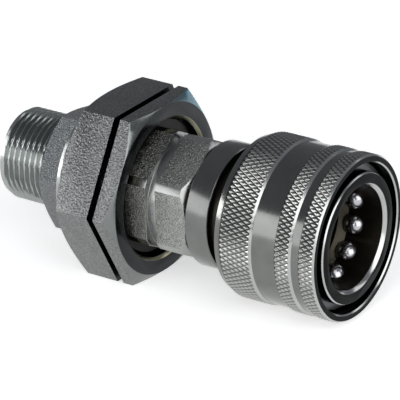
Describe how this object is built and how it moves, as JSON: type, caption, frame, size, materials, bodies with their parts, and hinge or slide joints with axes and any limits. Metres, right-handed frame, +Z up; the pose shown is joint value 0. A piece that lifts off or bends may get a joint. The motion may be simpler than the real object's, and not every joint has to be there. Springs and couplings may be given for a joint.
{
  "type": "hydraulic quick coupler",
  "caption": "Female hydraulic quick coupler on a bulkhead adaptor, with a knurled spring sleeve, locking balls, a poppet valve and two hexagon panel nuts.",
  "frame": {"origin": "on the coupler's axis, on the face of the rear nut that bears on the panel", "axes": "+X along the axis towards the mouth, +Z up with a flat of each nut facing down"},
  "size_m": [0.0913, 0.0474, 0.041],
  "materials": {
    "plated_steel_turned": "turned, bright zinc plated",
    "plated_steel_nut": "forged flats with a coarse grain, zinc plated",
    "plated_steel_hexagon": "drawn hexagon bar, zinc plated",
    "plated_steel_sleeve": "turned and diamond knurled, zinc plated",
    "spring_steel": "drawn wire or stamped strip",
    "valve_steel": "turned",
    "bearing_steel": "polished",
    "nitrile_rubber": "moulded",
    "fluoropolymer": "turned"
  },
  "bodies": {
    "coupler": {"bulkhead_adaptor": "plated_steel_turned", "hexagon_body": "plated_steel_hexagon", "socket_body": "plated_steel_turned", "sleeve_stop_ring": "spring_steel", "sleeve_spring": "spring_steel", "sleeve_retaining_ring": "spring_steel", "poppet_spring": "spring_steel", "valve_guide": "valve_steel", "guide_circlip": "spring_steel", "spigot_seal": "nitrile_rubber", "body_joint_ring": "nitrile_rubber", "nipple_o_ring": "nitrile_rubber", "nipple_backup_ring": "fluoropolymer"},
    "rear_nut": {"rear_panel_nut": "plated_steel_nut"},
    "lock_nut": {"front_lock_nut": "plated_steel_nut"},
    "sleeve": {"locking_sleeve": "plated_steel_sleeve"},
    "poppet": {"valve_poppet": "valve_steel", "poppet_seal": "nitrile_rubber"},
    "ball_01": {"locking_ball_01": "bearing_steel"},
    "ball_02": {"locking_ball_02": "bearing_steel"},
    "ball_03": {"locking_ball_03": "bearing_steel"},
    "ball_04": {"locking_ball_04": "bearing_steel"},
    "ball_05": {"locking_ball_05": "bearing_steel"},
    "ball_06": {"locking_ball_06": "bearing_steel"},
    "ball_07": {"locking_ball_07": "bearing_steel"},
    "ball_08": {"locking_ball_08": "bearing_steel"},
    "ball_09": {"locking_ball_09": "bearing_steel"},
    "ball_10": {"locking_ball_10": "bearing_steel"},
    "ball_11": {"locking_ball_11": "bearing_steel"},
    "ball_12": {"locking_ball_12": "bearing_steel"}
  },
  "joints": [
    {"name": "sleeve_slide", "type": "slide", "parent": "coupler", "child": "sleeve", "axis": [-1, 0, 0], "range_m": [0, 0.006], "stiffness_N_per_m": 3000, "springref_m": -0.004, "deforming": ["sleeve_spring"]},
    {"name": "poppet_slide", "type": "slide", "parent": "coupler", "child": "poppet", "axis": [-1, 0, 0], "range_m": [0, 0.006], "stiffness_N_per_m": 1500, "springref_m": -0.005, "deforming": ["poppet_spring"]},
    {"name": "rear_nut_travel", "type": "slide", "parent": "coupler", "child": "rear_nut", "axis": [1, 0, 0], "range_m": [-0.012, 0]},
    {"name": "lock_nut_travel", "type": "slide", "parent": "coupler", "child": "lock_nut", "axis": [1, 0, 0], "range_m": [-0.0016, 0.0015]},
    {"name": "ball_01_slide", "type": "slide", "parent": "coupler", "child": "ball_01", "axis": [0, -0.9681, 0.2504], "range_m": [0, 0.0019]},
    {"name": "ball_02_slide", "type": "slide", "parent": "coupler", "child": "ball_02", "axis": [0, -0.7133, 0.7009], "range_m": [0, 0.0019]},
    {"name": "ball_03_slide", "type": "slide", "parent": "coupler", "child": "ball_03", "axis": [0, -0.2672, 0.9636], "range_m": [0, 0.0019]},
    {"name": "ball_04_slide", "type": "slide", "parent": "coupler", "child": "ball_04", "axis": [0, 0.2504, 0.9681], "range_m": [0, 0.0019]},
    {"name": "ball_05_slide", "type": "slide", "parent": "coupler", "child": "ball_05", "axis": [0, 0.7009, 0.7133], "range_m": [0, 0.0019]},
    {"name": "ball_06_slide", "type": "slide", "parent": "coupler", "child": "ball_06", "axis": [0, 0.9636, 0.2672], "range_m": [0, 0.0019]},
    {"name": "ball_07_slide", "type": "slide", "parent": "coupler", "child": "ball_07", "axis": [0, 0.9681, -0.2504], "range_m": [0, 0.0019]},
    {"name": "ball_08_slide", "type": "slide", "parent": "coupler", "child": "ball_08", "axis": [0, 0.7133, -0.7009], "range_m": [0, 0.0019]},
    {"name": "ball_09_slide", "type": "slide", "parent": "coupler", "child": "ball_09", "axis": [0, 0.2672, -0.9636], "range_m": [0, 0.0019]},
    {"name": "ball_10_slide", "type": "slide", "parent": "coupler", "child": "ball_10", "axis": [0, -0.2504, -0.9681], "range_m": [0, 0.0019]},
    {"name": "ball_11_slide", "type": "slide", "parent": "coupler", "child": "ball_11", "axis": [0, -0.7009, -0.7133], "range_m": [0, 0.0019]},
    {"name": "ball_12_slide", "type": "slide", "parent": "coupler", "child": "ball_12", "axis": [0, -0.9636, -0.2672], "range_m": [0, 0.0019]}
  ],
  "couplings": [
    {"joint": "ball_01_slide", "follows": "sleeve_slide", "ratio": 0.31},
    {"joint": "ball_02_slide", "follows": "sleeve_slide", "ratio": 0.31},
    {"joint": "ball_03_slide", "follows": "sleeve_slide", "ratio": 0.31},
    {"joint": "ball_04_slide", "follows": "sleeve_slide", "ratio": 0.31},
    {"joint": "ball_05_slide", "follows": "sleeve_slide", "ratio": 0.31},
    {"joint": "ball_06_slide", "follows": "sleeve_slide", "ratio": 0.31},
    {"joint": "ball_07_slide", "follows": "sleeve_slide", "ratio": 0.31},
    {"joint": "ball_08_slide", "follows": "sleeve_slide", "ratio": 0.31},
    {"joint": "ball_09_slide", "follows": "sleeve_slide", "ratio": 0.31},
    {"joint": "ball_10_slide", "follows": "sleeve_slide", "ratio": 0.31},
    {"joint": "ball_11_slide", "follows": "sleeve_slide", "ratio": 0.31},
    {"joint": "ball_12_slide", "follows": "sleeve_slide", "ratio": 0.31}
  ]
}
